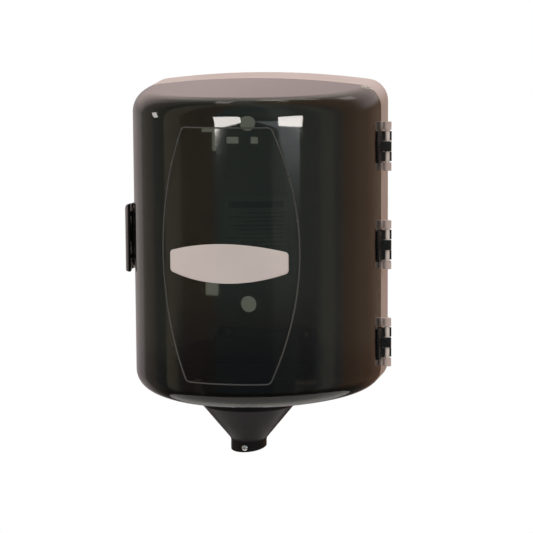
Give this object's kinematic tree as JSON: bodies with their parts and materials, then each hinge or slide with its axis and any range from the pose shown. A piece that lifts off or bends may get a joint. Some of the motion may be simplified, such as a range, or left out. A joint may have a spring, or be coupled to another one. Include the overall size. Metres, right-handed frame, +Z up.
{
  "type": "hand towel dispenser",
  "caption": "Wall-hung centre-pull paper towel dispenser: light rear housing, hinged see-through cover with side latch, roll tray and outlet funnel.",
  "frame": {"origin": "centre of the four wall screw holes, on the wall plane at the back of the housing", "axes": "+Y points into the wall, the front faces -Y; +X is the hinge side; +Z is up"},
  "size_m": [0.246, 0.172, 0.3399],
  "materials": {
    "housing_plastic": "light warm grey moulded plastic, satin",
    "rod_plastic": "light warm grey rod",
    "tray_plastic": "dark moulded plastic",
    "zinc_steel": "zinc plated screw steel",
    "funnel_plastic": "near black satin plastic",
    "insert_plastic": "black plastic",
    "bright_steel": "bright steel",
    "spring_steel": "spring steel",
    "smoke_plastic": "see-through smoke plastic, polished",
    "clip_plastic": "black plastic",
    "rivet_plastic": "black plastic",
    "adhesive_foam": "foam adhesive pad",
    "badge_silver": "satin silver plate, bare",
    "label_film": "film label with plain bars",
    "latch_base_plastic": "black plastic",
    "latch_black": "polished black plastic"
  },
  "bodies": {
    "housing": {"rear_housing": "housing_plastic", "hinge_rod_top": "rod_plastic", "hinge_rod_middle": "rod_plastic", "hinge_rod_bottom": "rod_plastic", "roll_tray": "tray_plastic", "tray_screws": "zinc_steel", "outlet_funnel": "funnel_plastic", "funnel_screws": "zinc_steel", "nozzle_insert": "insert_plastic", "nozzle_screw": "bright_steel", "catch_spring": "spring_steel", "catch_screws": "zinc_steel"},
    "cover": {"front_cover": "smoke_plastic", "hinge_clip_top": "clip_plastic", "hinge_clip_middle": "clip_plastic", "hinge_clip_bottom": "clip_plastic", "clip_rivets": "rivet_plastic", "badge_pad": "adhesive_foam", "badge_plate": "badge_silver", "instruction_label": "label_film", "latch_base": "latch_base_plastic", "latch_base_screws": "zinc_steel", "latch_pin": "bright_steel", "latch_spring": "spring_steel"},
    "latch": {"latch_lever": "latch_black"}
  },
  "joints": [
    {"name": "cover_swing", "type": "hinge", "parent": "housing", "child": "cover", "pos_m": [0.1199, -0.038, -0.0102], "axis": [0, 0, 1], "range_deg": [0, 110], "deforming": ["catch_spring"]},
    {"name": "latch_press", "type": "hinge", "parent": "cover", "child": "latch", "pos_m": [-0.1183, -0.054, -0.0041], "axis": [0, 0, 1], "range_deg": [0, 8], "stiffness_Nm_per_rad": 0.05}
  ]
}
